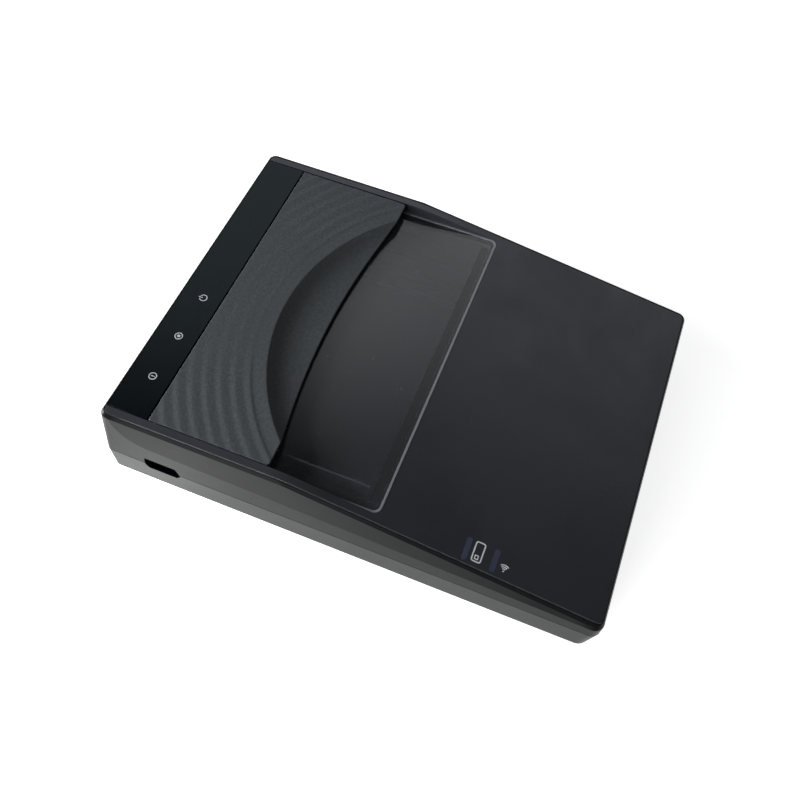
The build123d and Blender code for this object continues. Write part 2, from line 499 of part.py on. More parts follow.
NODES = {
    "lower_case": lower, "middle_case": middle, "top_panel": panel, "scan_glass": glass,
    "glass_rim": rim, "white_reference": white_ref, "cover": cover, "hinge_pins": pins,
    "indicator_strip": strip, "power_icon": icons["power_icon"], "data_icon": icons["data_icon"],
    "alert_icon": icons["alert_icon"], "light_guides": guides, "indicator_board": ind_board,
    "indicator_lamps": ind_lamps, "card_light": bars["card_light"], "wave_light": bars["wave_light"],
    "card_icon": card_icon, "wave_icon": wave_icon, "lamp_board": lamp_board,
    "antenna_board": ant, "antenna_coil": coil_s, "main_board": main_board, "board_chips": chips,
    "board_capacitors": caps, "buzzer": buzzer, "card_reader": card_reader, "port_board": usb_board,
    "port_socket": socket, "port_tongue": tongue_u, "guide_rod": rod, "carriage": carriage,
    "image_sensor": sensor, "lens_bar": lens_bar, "light_bar": light_bar, "sensor_glass": sensor_glass,
    "glide_pads": pads, "drive_motor": motor, "motor_bracket": bracket, "motor_shaft": shaft,
    "drive_pulley": drive_pulley, "idler_pulley": idler, "idler_pin": idler_pin, "drive_belt": belt,
    "case_screws": case_screws, "board_screws": board_screws, "bracket_screws": bracket_screws,
    "indicator_screws": ind_screws, "rubber_feet": feet,
}
for name, shape in NODES.items():
    if isinstance(shape, list):
        solids = [s for q in shape for s in q.solids()]
    else:
        solids = list(shape.solids())
    solids = [Pos(0, 0, FOOT_H) * s for s in solids]
    out = solids[0] if len(solids) == 1 else Compound(children=solids)
    bb = out.bounding_box()
    print("%-18s solids %2d vol %9.1f  x %7.2f %7.2f  y %7.2f %7.2f  z %6.2f %6.2f  valid %s" % (
        name, len(solids), sum(s.volume for s in solids), bb.min.X, bb.max.X, bb.min.Y, bb.max.Y, bb.min.Z, bb.max.Z,
        all(s.is_valid if isinstance(s.is_valid, bool) else s.is_valid() for s in solids)))
    export_step(out, "parts/%s.step" % name)
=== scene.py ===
import bpy
import bmesh
import math
from mathutils import Vector, Matrix


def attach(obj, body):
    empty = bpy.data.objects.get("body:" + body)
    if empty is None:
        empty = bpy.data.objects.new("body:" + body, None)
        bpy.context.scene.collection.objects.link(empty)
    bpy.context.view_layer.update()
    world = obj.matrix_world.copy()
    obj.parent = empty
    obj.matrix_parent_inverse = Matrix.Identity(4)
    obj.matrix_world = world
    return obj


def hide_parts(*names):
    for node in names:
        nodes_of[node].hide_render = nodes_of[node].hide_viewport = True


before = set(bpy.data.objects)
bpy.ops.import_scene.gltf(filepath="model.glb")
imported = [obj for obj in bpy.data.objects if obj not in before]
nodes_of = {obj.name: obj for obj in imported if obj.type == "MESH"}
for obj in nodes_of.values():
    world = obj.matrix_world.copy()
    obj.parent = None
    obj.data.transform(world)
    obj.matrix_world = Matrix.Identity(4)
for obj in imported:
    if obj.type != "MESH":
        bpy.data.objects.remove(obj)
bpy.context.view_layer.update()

MM = 0.001
scene = bpy.context.scene


# ------------------------------------------------------------------ materials
def new_mat(name):
    m = bpy.data.materials.new(name)
    m.use_nodes = True
    nt = m.node_tree
    nt.nodes.clear()
    out = nt.nodes.new("ShaderNodeOutputMaterial")
    b = nt.nodes.new("ShaderNodeBsdfPrincipled")
    nt.links.new(b.outputs["BSDF"], out.inputs["Surface"])
    return m, nt, b


def coords(nt, scale=(1, 1, 1)):
    tc = nt.nodes.new("ShaderNodeTexCoord")
    mp = nt.nodes.new("ShaderNodeMapping")
    mp.inputs["Scale"].default_value = scale
    nt.links.new(tc.outputs["Object"], mp.inputs["Vector"])
    return mp.outputs["Vector"]


def noise(nt, vec, scale, detail=3.0, rough=0.55, distortion=0.0):
    n = nt.nodes.new("ShaderNodeTexNoise")
    n.inputs["Scale"].default_value = scale
    n.inputs["Detail"].default_value = detail
    n.inputs["Roughness"].default_value = rough
    n.inputs["Distortion"].default_value = distortion
    nt.links.new(vec, n.inputs["Vector"])
    return n.outputs["Fac"]


def span(nt, value, lo, hi, a, b):
    """Value mapped from lo..hi to a..b, clamped."""
    r = nt.nodes.new("ShaderNodeMapRange")
    r.inputs["From Min"].default_value = lo
    r.inputs["From Max"].default_value = hi
    r.inputs["To Min"].default_value = a
    r.inputs["To Max"].default_value = b
    nt.links.new(value, r.inputs["Value"])
    return r.outputs["Result"]


def mix_col(nt, fac, a, b):
    m = nt.nodes.new("ShaderNodeMix")
    m.data_type = "RGBA"
    if hasattr(fac, "is_linked"):
        nt.links.new(fac, m.inputs[0])
    else:
        m.inputs[0].default_value = fac
    for sock, v in ((m.inputs[6], a), (m.inputs[7], b)):
        if hasattr(v, "is_linked"):
            nt.links.new(v, sock)
        else:
            sock.default_value = (*v, 1.0)
    return m.outputs[2]


def math_node(nt, op, a, b=None):
    m = nt.nodes.new("ShaderNodeMath")
    m.operation = op
    for sock, v in ((m.inputs[0], a), (m.inputs[1], b)):
        if v is None:
            continue
        if hasattr(v, "is_linked"):
            nt.links.new(v, sock)
        else:
            sock.default_value = v
    return m.outputs[0]


def bump(nt, height, strength, distance, under=None):
    n = nt.nodes.new("ShaderNodeBump")
    n.inputs["Strength"].default_value = strength
    n.inputs["Distance"].default_value = distance
    nt.links.new(height, n.inputs["Height"])
    if under is not None:
        nt.links.new(under, n.inputs["Normal"])
    return n.outputs["Normal"]


def plastic(name, col, rough=0.5, grain=2600.0, grain_h=0.00003, mottle=700.0, mottle_amt=0.18,
            cloud=26.0, cloud_amt=0.12, rough_var=0.08, spec=0.5, strength=0.6, tint=(1, 1, 1)):
    """Moulded plastic: eroded grain, a slight mottle, and a faint cloud of handling."""
    m, nt, b = new_mat(name)
    v = coords(nt)
    fine = noise(nt, v, grain, 4.0, 0.6)
    mid = noise(nt, v, mottle, 3.0, 0.6)
    big = noise(nt, v, cloud, 4.0, 0.6, 0.4)
    lo = tuple(c * (1 - mottle_amt) for c in col)
    hi = tuple(min(1.0, c * (1 + mottle_amt)) for c in col)
    c1 = mix_col(nt, span(nt, mid, 0.35, 0.65, 0.0, 1.0), lo, hi)
    dk = tuple(c * (1 - cloud_amt) for c in col)
    c2 = mix_col(nt, span(nt, big, 0.42, 0.72, 0.0, 0.55), c1, dk)
    nt.links.new(c2, b.inputs["Base Color"])
    r = math_node(nt, "ADD", span(nt, big, 0.3, 0.7, rough - rough_var, rough + rough_var),
                  span(nt, fine, 0.3, 0.7, -0.03, 0.03))
    nt.links.new(r, b.inputs["Roughness"])
    b.inputs["Specular IOR Level"].default_value = spec
    b.inputs["Specular Tint"].default_value = (*tint, 1.0)
    n1 = bump(nt, mid, strength * 0.5, grain_h * 2.2)
    n2 = bump(nt, fine, strength, grain_h, n1)
    nt.links.new(n2, b.inputs["Normal"])
    return m


def gloss(name, col, rough=0.12, dust=0.25, spec=0.5, tint=(1, 1, 1)):
    """Polished plastic with a long soft unevenness, fine dust and faint rub marks."""
    m, nt, b = new_mat(name)
    v = coords(nt)
    wav = noise(nt, v, 38.0, 2.0, 0.5)
    spk = noise(nt, v, 1500.0, 2.0, 0.5)
    rub = noise(nt, coords(nt, (1.0, 9.0, 1.0)), 160.0, 4.0, 0.65, 0.6)
    dustm = span(nt, spk, 0.72, 0.80, 0.0, dust)
    c = mix_col(nt, dustm, col, tuple(min(1.0, c + 0.10) for c in col))
    nt.links.new(c, b.inputs["Base Color"])
    r = math_node(nt, "ADD", span(nt, rub, 0.35, 0.75, rough * 0.8, rough * 1.7), dustm)
    nt.links.new(r, b.inputs["Roughness"])
    b.inputs["Specular IOR Level"].default_value = spec
    b.inputs["Specular Tint"].default_value = (*tint, 1.0)
    n = bump(nt, wav, 0.15, 0.0004)
    nt.links.new(n, b.inputs["Normal"])
    return m


def ink(name, col):
    m, nt, b = new_mat(name)
    v = coords(nt)
    n1 = noise(nt, v, 4200.0, 3.0, 0.6)
    n2 = noise(nt, v, 300.0, 2.0, 0.5)
    c = mix_col(nt, span(nt, n2, 0.3, 0.7, 0.0, 1.0), tuple(x * 0.86 for x in col), col)
    nt.links.new(c, b.inputs["Base Color"])
    nt.links.new(span(nt, n1, 0.3, 0.7, 0.42, 0.6), b.inputs["Roughness"])
    nt.links.new(bump(nt, n1, 0.3, 0.00001), b.inputs["Normal"])
    return m


def metal(name, col, rough=0.3, brushed=(1, 1, 1), amt=0.12):
    m, nt, b = new_mat(name)
    n1 = noise(nt, coords(nt, brushed), 1400.0, 4.0, 0.6)
    n2 = noise(nt, coords(nt), 90.0, 3.0, 0.55)
    c = mix_col(nt, span(nt, n2, 0.3, 0.7, 0.0, 1.0), tuple(x * (1 - amt) for x in col), col)
    nt.links.new(c, b.inputs["Base Color"])
    b.inputs["Metallic"].default_value = 1.0
    nt.links.new(span(nt, n1, 0.25, 0.75, rough * 0.75, rough * 1.35), b.inputs["Roughness"])
    nt.links.new(bump(nt, n1, 0.25, 0.00001), b.inputs["Normal"])
    return m


def board_mat(name):
    """Circuit board: solder mask over a grid of tracks, with plated pads."""
    m, nt, b = new_mat(name)
    v = coords(nt)
    br = nt.nodes.new("ShaderNodeTexBrick")
    br.inputs["Scale"].default_value = 130.0
    br.inputs["Mortar Size"].default_value = 0.035
    br.inputs["Color1"].default_value = (0.010, 0.070, 0.030, 1)
    br.inputs["Color2"].default_value = (0.014, 0.085, 0.036, 1)
    br.inputs["Mortar"].default_value = (0.020, 0.130, 0.055, 1)
    nt.links.new(v, br.inputs["Vector"])
    vo = nt.nodes.new("ShaderNodeTexVoronoi")
    vo.inputs["Scale"].default_value = 260.0
    nt.links.new(v, vo.inputs["Vector"])
    pad = span(nt, vo.outputs["Distance"], 0.10, 0.13, 1.0, 0.0)
    c = mix_col(nt, pad, br.outputs["Color"], (0.55, 0.50, 0.38))
    nt.links.new(c, b.inputs["Base Color"])
    nt.links.new(span(nt, noise(nt, v, 500.0), 0.3, 0.7, 0.28, 0.42), b.inputs["Roughness"])
    nt.links.new(bump(nt, br.outputs["Fac"], 0.3, 0.00003), b.inputs["Normal"])
    return m


def glass_mat(name, tint, rough=0.02, trans=0.92):
    """Clear sheet with smears and specks of dust on its face."""
    m, nt, b = new_mat(name)
    v = coords(nt)
    sm = noise(nt, coords(nt, (1.0, 3.0, 1.0)), 60.0, 5.0, 0.7, 1.2)
    sp = noise(nt, v, 1300.0, 2.0, 0.5)
    dust = span(nt, sp, 0.74, 0.80, 0.0, 0.35)
    nt.links.new(mix_col(nt, dust, tint, (0.5, 0.5, 0.5)), b.inputs["Base Color"])
    r = math_node(nt, "ADD", span(nt, sm, 0.45, 0.8, rough, rough + 0.07), dust)
    nt.links.new(r, b.inputs["Roughness"])
    b.inputs["Transmission Weight"].default_value = trans
    b.inputs["Specular IOR Level"].default_value = 0.15
    b.inputs["IOR"].default_value = 1.5
    nt.links.new(bump(nt, noise(nt, v, 22.0, 1.0, 0.4), 0.02, 0.0002), b.inputs["Normal"])
    return m


def rubber(name, col, rough=0.75):
    m, nt, b = new_mat(name)
    v = coords(nt)
    vo = nt.nodes.new("ShaderNodeTexVoronoi")
    vo.inputs["Scale"].default_value = 1500.0
    nt.links.new(v, vo.inputs["Vector"])
    big = noise(nt, v, 120.0, 4.0, 0.6)
    c = mix_col(nt, span(nt, big, 0.35, 0.7, 0.0, 1.0), col, tuple(min(1, x * 1.8 + 0.01) for x in col))
    nt.links.new(c, b.inputs["Base Color"])
    nt.links.new(span(nt, big, 0.3, 0.7, rough - 0.08, rough + 0.12), b.inputs["Roughness"])
    nt.links.new(bump(nt, vo.outputs["Distance"], 0.4, 0.00004), b.inputs["Normal"])
    return m


M = {
    "case": plastic("case_plastic", (0.0042, 0.0046, 0.0050), 0.33, spec=0.065, grain=2400.0, grain_h=0.00002, mottle=520.0, mottle_amt=0.10, cloud=18.0, rough_var=0.05),
    "case_low": plastic("case_low_plastic", (0.0122, 0.0134, 0.0134), 0.33, spec=0.072, grain=2400.0, grain_h=0.00002, mottle=520.0, mottle_amt=0.10, cloud=18.0, rough_var=0.05),
    "panel": plastic("panel_plastic", (0.0155, 0.0160, 0.0205), 0.36, spec=0.88, tint=(0.84, 0.90, 1.0), grain=2800.0, grain_h=0.00002, mottle=650.0, mottle_amt=0.10, cloud=22.0),
    "cover": plastic("cover_plastic", (0.067, 0.074, 0.0805), 0.56, spec=0.20, grain=2600.0, grain_h=0.00003, mottle=1000.0, mottle_amt=0.17, cloud=30.0, strength=0.8),
    "strip": gloss("strip_gloss", (0.0007, 0.0009, 0.0014), 0.14, spec=0.25, tint=(0.70, 0.94, 1.0)),
    "glass": glass_mat("scan_glass", (0.35, 0.38, 0.42)),
    "rim": gloss("rim_line", (0.20, 0.21, 0.23), 0.25),
    "ink": ink("symbol_ink", (0.62, 0.65, 0.70)),
    "deck_ink": ink("deck_symbol_ink", (0.93, 0.95, 0.98)),
    "window": gloss("light_window", (0.062, 0.075, 0.122), 0.2),
    "guide": gloss("light_guide", (0.7, 0.72, 0.75), 0.3),
    "board": board_mat("circuit_board"),
    "copper": metal("copper_track", (0.85, 0.45, 0.27), 0.35),
    "chip": plastic("chip_epoxy", (0.012, 0.012, 0.013), 0.55, grain=4000.0, grain_h=0.00001),
    "lamp": gloss("lamp_body", (0.8, 0.8, 0.72), 0.3),
    "can": metal("capacitor_can", (0.86, 0.86, 0.88), 0.28, (1, 1, 8)),
    "steel": metal("plain_steel", (0.62, 0.62, 0.64), 0.32, (1, 0.15, 1)),
    "shell": plastic("blue_black_shell", (0.0030, 0.0048, 0.0100), 0.5, spec=0.12, grain=3000.0, grain_h=0.00001),
    "tongue": plastic("tongue_plastic", (0.004, 0.006, 0.011), 0.5, grain=3500.0, grain_h=0.00001),
    "black_steel": metal("black_zinc", (0.10, 0.10, 0.11), 0.38),
    "carriage": plastic("carriage_plastic", (0.018, 0.018, 0.020), 0.5, grain=2000.0),
    "white": plastic("white_plastic", (0.80, 0.80, 0.77), 0.45, mottle_amt=0.03, cloud_amt=0.06),
    "lens": glass_mat("lens_glass", (0.8, 0.85, 0.9), 0.05, 0.6),
    "motor": metal("motor_can", (0.50, 0.51, 0.53), 0.3, (1, 1, 6)),
    "brass": metal("turned_brass", (0.80, 0.62, 0.32), 0.28, (1, 1, 10)),
    "belt": rubber("belt_rubber", (0.012, 0.012, 0.012), 0.7),
    "foot": rubber("foot_rubber", (0.020, 0.020, 0.021), 0.8),
}


def on_tops(mat, spec):
    """More gloss where the surface faces up: the narrow bevel along the top of the case, up to the back corners."""
    nt = mat.node_tree
    b = next(n for n in nt.nodes if n.type == "BSDF_PRINCIPLED")
    sep = nt.nodes.new("ShaderNodeSeparateXYZ")
    nt.links.new(nt.nodes.new("ShaderNodeNewGeometry").outputs["True Normal"], sep.inputs[0])
    at = nt.nodes.new("ShaderNodeSeparateXYZ")
    nt.links.new(nt.nodes.new("ShaderNodeTexCoord").outputs["Object"], at.inputs[0])
    up = math_node(nt, "MULTIPLY", span(nt, sep.outputs[2], 0.3, 0.6, 0.0, 1.0), span(nt, at.outputs[1], 0.085, 0.088, 1.0, 0.0))
    low = b.inputs["Specular IOR Level"].default_value
    nt.links.new(span(nt, up, 0.0, 1.0, low, spec), b.inputs["Specular IOR Level"])


def painted_shade_in_box(mat, lo, hi, col):
    """Painted shade: dark colour on the surfaces inside one box of the object (metres)."""
    nt = mat.node_tree
    b = next(n for n in nt.nodes if n.type == "BSDF_PRINCIPLED")
    sep = nt.nodes.new("ShaderNodeSeparateXYZ")
    nt.links.new(nt.nodes.new("ShaderNodeTexCoord").outputs["Object"], sep.inputs[0])
    m = None
    for k in range(3):
        for op, lim in (("GREATER_THAN", lo[k]), ("LESS_THAN", hi[k])):
            t = math_node(nt, op, sep.outputs[k], lim)
            m = t if m is None else math_node(nt, "MULTIPLY", m, t)
    old = b.inputs["Base Color"].links[0].from_socket
    nt.links.new(mix_col(nt, m, old, col), b.inputs["Base Color"])


def paint_rim_highlight_and_corner_shade(mat, col):
    """Painted highlight: paler where the surface turns over an edge, the rounded rim of the top panel, as if it
    caught the light.
    """
    nt = mat.node_tree
    b = next(n for n in nt.nodes if n.type == "BSDF_PRINCIPLED")
    sep = nt.nodes.new("ShaderNodeSeparateXYZ")
    nt.links.new(nt.nodes.new("ShaderNodeNewGeometry").outputs["True Normal"], sep.inputs[0])
    m = math_node(nt, "MULTIPLY", span(nt, sep.outputs[2], 0.25, 0.50, 0.0, 1.0), span(nt, sep.outputs[2], 0.86, 0.96, 1.0, 0.0))
    at = nt.nodes.new("ShaderNodeSeparateXYZ")
    nt.links.new(nt.nodes.new("ShaderNodeTexCoord").outputs["Object"], at.inputs[0])
    edge_highlight_mask = math_node(nt, "MULTIPLY", m, span(nt, at.outputs[1], 0.082, 0.088, 1.0, 0.0))
    old = b.inputs["Base Color"].links[0].from_socket
    # the rounded back corners are matt, and dark with painted shade that hides their glint
    corner_shade_mask = math_node(nt, "MULTIPLY", span(nt, sep.outputs[2], 0.93, 0.985, 1.0, 0.0), span(nt, at.outputs[1], 0.085, 0.0885, 0.0, 1.0))
    nt.links.new(mix_col(nt, corner_shade_mask, mix_col(nt, edge_highlight_mask, old, col), (0.003, 0.003, 0.004)), b.inputs["Base Color"])
    r = b.inputs["Roughness"].links[0].from_socket
    nt.links.new(math_node(nt, "MAXIMUM", r, span(nt, corner_shade_mask, 0.0, 1.0, 0.0, 0.85)), b.inputs["Roughness"])


on_tops(M["case"], 0.20)
# painted pale highlight along the top panel's rounded rim, and painted shade on its back corners
paint_rim_highlight_and_corner_shade(M["panel"], (0.16, 0.163, 0.172))
# painted shade inside the notch in the lower case's side wall
painted_shade_in_box(M["case_low"], (-0.0716, 0.0622, 0.0100), (-0.0670, 0.0784, 0.0180), (0.0006, 0.0012, 0.0034))

USE = {
    "lower_case": "case_low", "middle_case": "case", "top_panel": "panel", "scan_glass": "glass",
    "glass_rim": "rim", "white_reference": "white", "cover": "cover", "hinge_pins": "steel",
    "indicator_strip": "strip", "power_icon": "ink", "data_icon": "ink", "alert_icon": "ink",
    "card_icon": "deck_ink", "wave_icon": "deck_ink", "light_guides": "guide", "indicator_board": "board",
    "indicator_lamps": "lamp", "card_light": "window", "wave_light": "window", "lamp_board": "board",
    "antenna_board": "board", "antenna_coil": "copper", "main_board": "board", "board_chips": "chip",
    "board_capacitors": "can", "buzzer": "chip", "card_reader": "steel", "port_board": "board",
    "port_socket": "shell", "port_tongue": "tongue", "guide_rod": "steel", "carriage": "carriage",
    "image_sensor": "carriage", "lens_bar": "lens", "light_bar": "guide", "sensor_glass": "lens",
    "glide_pads": "white", "drive_motor": "motor", "motor_bracket": "steel", "motor_shaft": "steel",
    "drive_pulley": "brass", "idler_pulley": "white", "idler_pin": "steel", "drive_belt": "belt",
    "case_screws": "black_steel", "board_screws": "black_steel", "bracket_screws": "black_steel",
    "indicator_screws": "black_steel", "rubber_feet": "foot",
}
for name, o in nodes_of.items():
    mat = M[USE[name]]
    o.data.materials.clear()
    o.data.materials.append(mat)

# small edge radii on the moulded parts, as modifiers on top of the CAD shapes
EDGE = {"glass_rim": 0.05, "indicator_strip": 0.08,
        "card_light": 0.10, "wave_light": 0.10, "port_socket": 0.06, "carriage": 0.12, "image_sensor": 0.15}
for name, w in EDGE.items():
    o = nodes_of[name]
    wd = o.modifiers.new("weld", "WELD")
    wd.merge_threshold = 1e-6
    bv = o.modifiers.new("edges", "BEVEL")
    bv.width = w * MM
    bv.segments = 2
    bv.limit_method = "ANGLE"
    bv.angle_limit = math.radians(34)
    bv.harden_normals = False

# ------------------------------------------------------------------ hinged cover
TOP = 36.9            # top of the case
PLATE = 1.6
SC_R, SC_C = 79.0, -25.9
LIP_C, LIP_R = -269.0, 304.0
CX, YF, YB = 66.3, 29.5, 75.3
ROUND = 0.28          # radius of the cover's outer edges
DISH = [(50.0, -2.50, 0.0), (63.0, -2.50, 0.0), (67.0, -2.44, 0.030), (70.5, -2.27, 0.075), (73.0, -1.99, 0.16), (75.0, -1.56, 0.28), (77.0, -0.88, 0.41), (79.0, -0.05, 0.42)]


def hermite(pts, x):
    if x <= pts[0][0]:
        return pts[0][1]
    for (x0, y0, m0), (x1, y1, m1) in zip(pts, pts[1:]):
        if x <= x1:
            h = x1 - x0
            t = (x - x0) / h
            return ((2 * t ** 3 - 3 * t * t + 1) * y0 + (t ** 3 - 2 * t * t + t) * h * m0
                    + (-2 * t ** 3 + 3 * t * t) * y1 + (t ** 3 - t * t) * h * m1)
    return pts[-1][1]


def sm(a, b, x):
    t = max(0.0, min(1.0, (x - a) / (b - a)))
    return t * t * (3 - 2 * t)


RIP_P, RIP_R0, RIP_FALL, RIP_H = 5.04, 81.2, 0.46, 0.34
RIM_END = RIP_R0 + RIP_P * (1 - 0.5 * RIP_FALL)


def ripple(r, th):
    """Moulded ripples round the scoop: each falls quickly outwards, then climbs back slowly."""
    k = 0.05 + (0.27 if th < 0 else 0.20) * sm(0.24, 0.56, abs(th))
    if r < RIM_END:       # broad first step beside the scoop
        z = 1 - sm(79.0, 83.6, r) if r < 84.0 else sm(84.0, RIM_END, r)
        return -RIP_H * k * (1 - z)
    p = ((r - RIP_R0) / RIP_P + 0.5 * RIP_FALL) % 1.0
    if p < RIP_FALL:
        z = 0.5 * (1 + math.cos(math.pi * p / RIP_FALL))
    else:
        q = (p - RIP_FALL) / (1 - RIP_FALL)
        z = q * q * (3 - 2 * q) * 0.35 + q * 0.65
    return -RIP_H * k * (1 - z)


def cover_top(r, th):
    if r <= SC_R:
        return hermite(DISH, r)
    e = max(0.0, 0.35 - (r - SC_R)) / 0.35     # rolled edge of the scoop
    return ripple(r, th) - 0.05 * e * e


def cover_under(r, th):
    z = -PLATE
    if r < SC_R:
        z = min(z, hermite(DISH, r) - 0.75)
    return z


def lip_radius(th):
    """Distance from the scoop's centre to the lip arc along direction th."""
    sx, sy = math.sin(th), math.cos(th)
    d = SC_C - LIP_C
    bq = d * sy
    return -bq + math.sqrt(bq * bq - d * d + LIP_R * LIP_R)


def build_cover():
    bm = bmesh.new()
    th1 = 0.93
    n_th = 420
    radii_out = [SC_R + 0.12 * i for i in range(1, 8)]
    r = radii_out[-1]
    while r < 122.0:
        r += 0.30
        radii_out.append(r)
    cols = []
    for i in range(n_th + 1):
        th = -th1 + 2 * th1 * i / n_th
        r0 = lip_radius(th) + ROUND * 0.6
        col = []
        inner = [r0 + (SC_R - r0) * (1 - (1 - k / 44.0) ** 1.25) for k in range(44)] if r0 < SC_R - 0.2 else [r0 + 0.01 * k for k in range(44)]
        for rr in inner + [max(SC_R, inner[-1] + 0.01)] + [max(q, inner[-1] + 0.02 + 0.01 * j) for j, q in enumerate(radii_out)]:
            x, y = rr * math.sin(th), SC_C + rr * math.cos(th)
            v = bm.verts.new((x, y, TOP))
            col.append(v)
        cols.append(col)
    for a, b in zip(cols, cols[1:]):
        for k in range(len(a) - 1):
            bm.faces.new((a[k], b[k], b[k + 1], a[k + 1]))
    ins = ROUND
    cuts = [((CX - ins, 0), (1, 0)), ((-CX + ins, 0), (-1, 0)), ((0, YB - ins), (0, 1)), ((0, YF + ins), (0, -1)),
            ((CX - 0.62, YF + 0.62), (0.7071, -0.7071)), ((-CX + 0.62, YF + 0.62), (-0.7071, -0.7071)),
            ((CX - 0.4, YB - 0.4), (0.7071, 0.7071)), ((-CX + 0.4, YB - 0.4), (-0.7071, 0.7071))]
    for (px, py), (nx, ny) in cuts:
        bmesh.ops.bisect_plane(bm, geom=bm.verts[:] + bm.edges[:] + bm.faces[:], dist=1e-6, plane_co=(px, py, TOP),
                               plane_no=(nx, ny, 0), clear_outer=True)
    bmesh.ops.remove_doubles(bm, verts=bm.verts[:], dist=0.004)
    bmesh.ops.dissolve_degenerate(bm, dist=0.003, edges=bm.edges[:])
    for f in bm.faces:
        if f.normal.z < 0:
            f.normal_flip()
    bm.verts.index_update()
    polar = {}
    for v in bm.verts:
        polar[v.index] = (math.hypot(v.co.x, v.co.y - SC_C), math.atan2(v.co.x, v.co.y - SC_C))
    nv = len(bm.verts)
    top_faces = [[v.index for v in f.verts] for f in bm.faces]
    pts = [(v.co.x, v.co.y) for v in bm.verts]
    # outline loop
    nxt = {}
    for e in bm.edges:
        if len(e.link_faces) == 1:
            lp = e.link_loops[0]
            nxt[lp.vert.index] = lp.link_loop_next.vert.index
    bm.free()
    start = next(iter(nxt))
    loop, cur = [start], nxt[start]
    while cur != start:
        loop.append(cur)
        cur = nxt[cur]
    verts = []
    for i in range(nv):
        r, th = polar[i]
        verts.append([pts[i][0], pts[i][1], TOP + cover_top(r, th)])
    base_under = len(verts)
    for i in range(nv):
        r, th = polar[i]
        verts.append([pts[i][0], pts[i][1], TOP + cover_under(r, th)])
    faces = [list(f) for f in top_faces] + [[base_under + i for i in reversed(f)] for f in top_faces]
    n = len(loop)
    norms = []
    for k in range(n):
        (ax, ay), (bx, by), (cx_, cy_) = pts[loop[k - 1]], pts[loop[k]], pts[loop[(k + 1) % n]]
        d1 = Vector((bx - ax, by - ay)).normalized()
        d2 = Vector((cx_ - bx, cy_ - by)).normalized()
        n1, n2 = Vector((d1.y, -d1.x)), Vector((d2.y, -d2.x))
        m_ = (n1 + n2)
        m_ = m_.normalized() / max(0.55, m_.normalized().dot(n1))
        norms.append(m_)
    steps = 4
    rings = [loop]
    for s in range(1, steps + 1):
        a = math.pi / 2 * s / steps
        ring = []
        for k, i in enumerate(loop):
            zt, zb = verts[i][2], verts[base_under + i][2]
            rr = min(ROUND, 0.42 * (zt - zb))
            off = ROUND * math.sin(a)
            dz = rr * (1 - math.cos(a))
            verts.append([pts[i][0] + norms[k].x * off, pts[i][1] + norms[k].y * off, zt - dz])
            ring.append(len(verts) - 1)
        rings.append(ring)
    for s in range(steps, 0, -1):
        a = math.pi / 2 * s / steps
        ring = []
        for k, i in enumerate(loop):
            zt, zb = verts[i][2], verts[base_under + i][2]
            rr = min(ROUND, 0.42 * (zt - zb))
            off = ROUND * math.sin(a)
            dz = rr * (1 - math.cos(a))
            verts.append([pts[i][0] + norms[k].x * off, pts[i][1] + norms[k].y * off, zb + dz])
            ring.append(len(verts) - 1)
        rings.append(ring)
    rings.append([base_under + i for i in loop])
    for ra, rb in zip(rings, rings[1:]):
        for k in range(n):
            k2 = (k + 1) % n
            faces.append([ra[k], rb[k], rb[k2], ra[k2]])
    # side skirts with the hinge bosses
    prof = [(31.6, 35.5), (33.2, 33.1), (33.6, 32.85), (68.4, 32.85), (69.2, 33.05), (71.5, 33.98), (73.8, 33.98), (74.3, 34.5), (74.3, 35.5)]
    for s in (-1, 1):
        xs = [s * 63.4, s * 63.6, s * 66.1, s * 66.3]
        shr = [0.18, 0.0, 0.0, 0.18]
        cy0 = sum(p[0] for p in prof) / len(prof)
        cz0 = sum(p[1] for p in prof) / len(prof)
        idx = []
        for x, q in zip(xs, shr):
            row = []
            for (y, z) in prof:
                dy, dz = y - cy0, z - cz0
                yy = y - math.copysign(q, dy) if abs(dy) > 1 else y
                zz = z + (q if dz < 0 else 0)
                verts.append([x, yy, zz])
                row.append(len(verts) - 1)
            idx.append(row)
        if s > 0:
            first, last = list(reversed(idx[0])), list(idx[-1])
        else:
            first, last = list(idx[0]), list(reversed(idx[-1]))
        faces.append(first)
        faces.append(last)
        m = len(prof)
        for a, b in zip(idx, idx[1:]):
            for k in range(m):
                k2 = (k + 1) % m
                q = [a[k], a[k2], b[k2], b[k]]
                faces.append(q if s > 0 else q[::-1])
    me = bpy.data.meshes.new("cover_shell")
    me.from_pydata([tuple(c * MM for c in v) for v in verts], [], faces)
    bm = bmesh.new()
    bm.from_mesh(me)
    bmesh.ops.remove_doubles(bm, verts=bm.verts[:], dist=2e-7)
    bmesh.ops.recalc_face_normals(bm, faces=bm.faces[:])
    bm.to_mesh(me)
    bm.free()
    for p in me.polygons:
        p.use_smooth = True
    o = bpy.data.objects.new("cover_shell", me)
    scene.collection.objects.link(o)
    me.set_sharp_from_angle(angle=math.radians(50))
    return o


cover = build_cover()
cover.data.materials.append(M["cover"])
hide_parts("cover")
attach(cover, "cover")

# ------------------------------------------------------------------ floor, lights, camera
bpy.ops.mesh.primitive_plane_add(size=6.0, location=(0, 0, 0))
floor = bpy.context.object
floor.name = "floor"
fm, fnt, fb = new_mat("pale_floor")
fv = coords(fnt)
fnt.links.new(mix_col(fnt, span(fnt, noise(fnt, fv, 3.0), 0.3, 0.7, 0.0, 1.0), (0.93, 0.93, 0.935), (0.96, 0.96, 0.96)), fb.inputs["Base Color"])
fb.inputs["Roughness"].default_value = 0.6
fb.inputs["Specular IOR Level"].default_value = 0.2
fb.inputs["Emission Color"].default_value = (1, 1, 1, 1)
fx_ = fnt.nodes.new("ShaderNodeSeparateXYZ")
fnt.links.new(fv, fx_.inputs[0])


